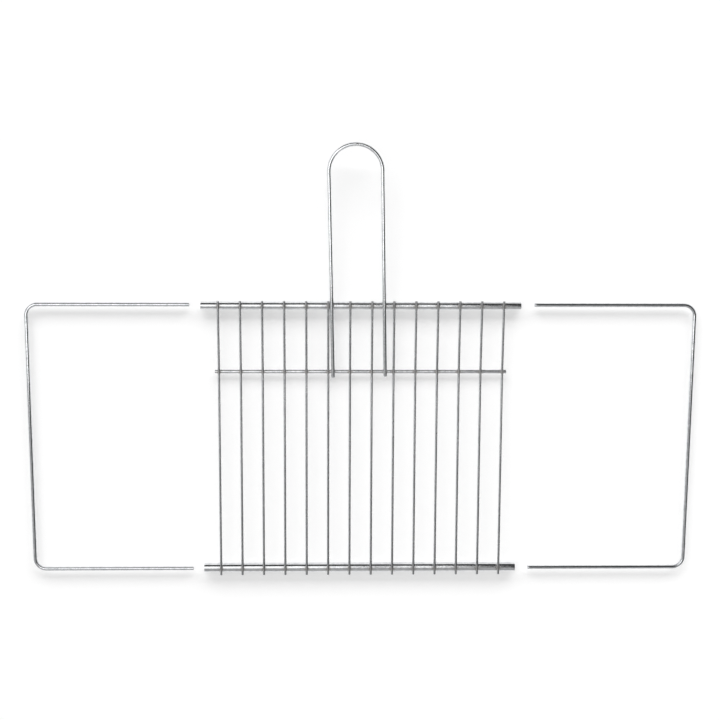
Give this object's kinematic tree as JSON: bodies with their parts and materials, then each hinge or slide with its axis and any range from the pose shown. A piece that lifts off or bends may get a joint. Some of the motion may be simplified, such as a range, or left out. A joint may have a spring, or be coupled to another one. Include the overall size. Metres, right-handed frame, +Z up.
{
  "type": "barbecue grill grate",
  "caption": "Extendable barbecue grill grate: welded wire bars on cross tubes, a long wire loop handle, and U-shaped side arms that slide into the tubes.",
  "frame": {"origin": "middle between the front and the rear tube, halfway along them, on the surface that the tubes and the brace lie on", "axes": "+X to the right along the tubes, +Y towards the handle, +Z up through the bars"},
  "size_m": [0.841, 0.5496, 0.0266],
  "materials": {
    "tube_plating": "bright plated steel tube, fine lengthways draw lines",
    "bar_plating": "plated drawn steel wire, a little duller than the tubes",
    "brace_plating": "bright plated drawn steel wire",
    "handle_plating": "bright plated drawn steel wire",
    "arm_plating": "bright plated drawn steel wire"
  },
  "bodies": {
    "grate": {"rear_tube": "tube_plating", "front_tube": "tube_plating", "cross_brace": "brace_plating", "bar_01": "bar_plating", "bar_02": "bar_plating", "bar_03": "bar_plating", "bar_04": "bar_plating", "bar_05": "bar_plating", "bar_06": "bar_plating", "bar_07": "bar_plating", "bar_08": "bar_plating", "bar_09": "bar_plating", "bar_10": "bar_plating", "bar_11": "bar_plating", "bar_12": "bar_plating", "bar_13": "bar_plating", "bar_14": "bar_plating", "handle": "handle_plating"},
    "left_arm": {"left_arm": "arm_plating"},
    "right_arm": {"right_arm": "arm_plating"}
  },
  "joints": [
    {"name": "left_arm_slide", "type": "slide", "parent": "grate", "child": "left_arm", "axis": [1, 0, 0], "range_m": [0, 0.2005]},
    {"name": "right_arm_slide", "type": "slide", "parent": "grate", "child": "right_arm", "axis": [-1, 0, 0], "range_m": [0, 0.2035]}
  ]
}
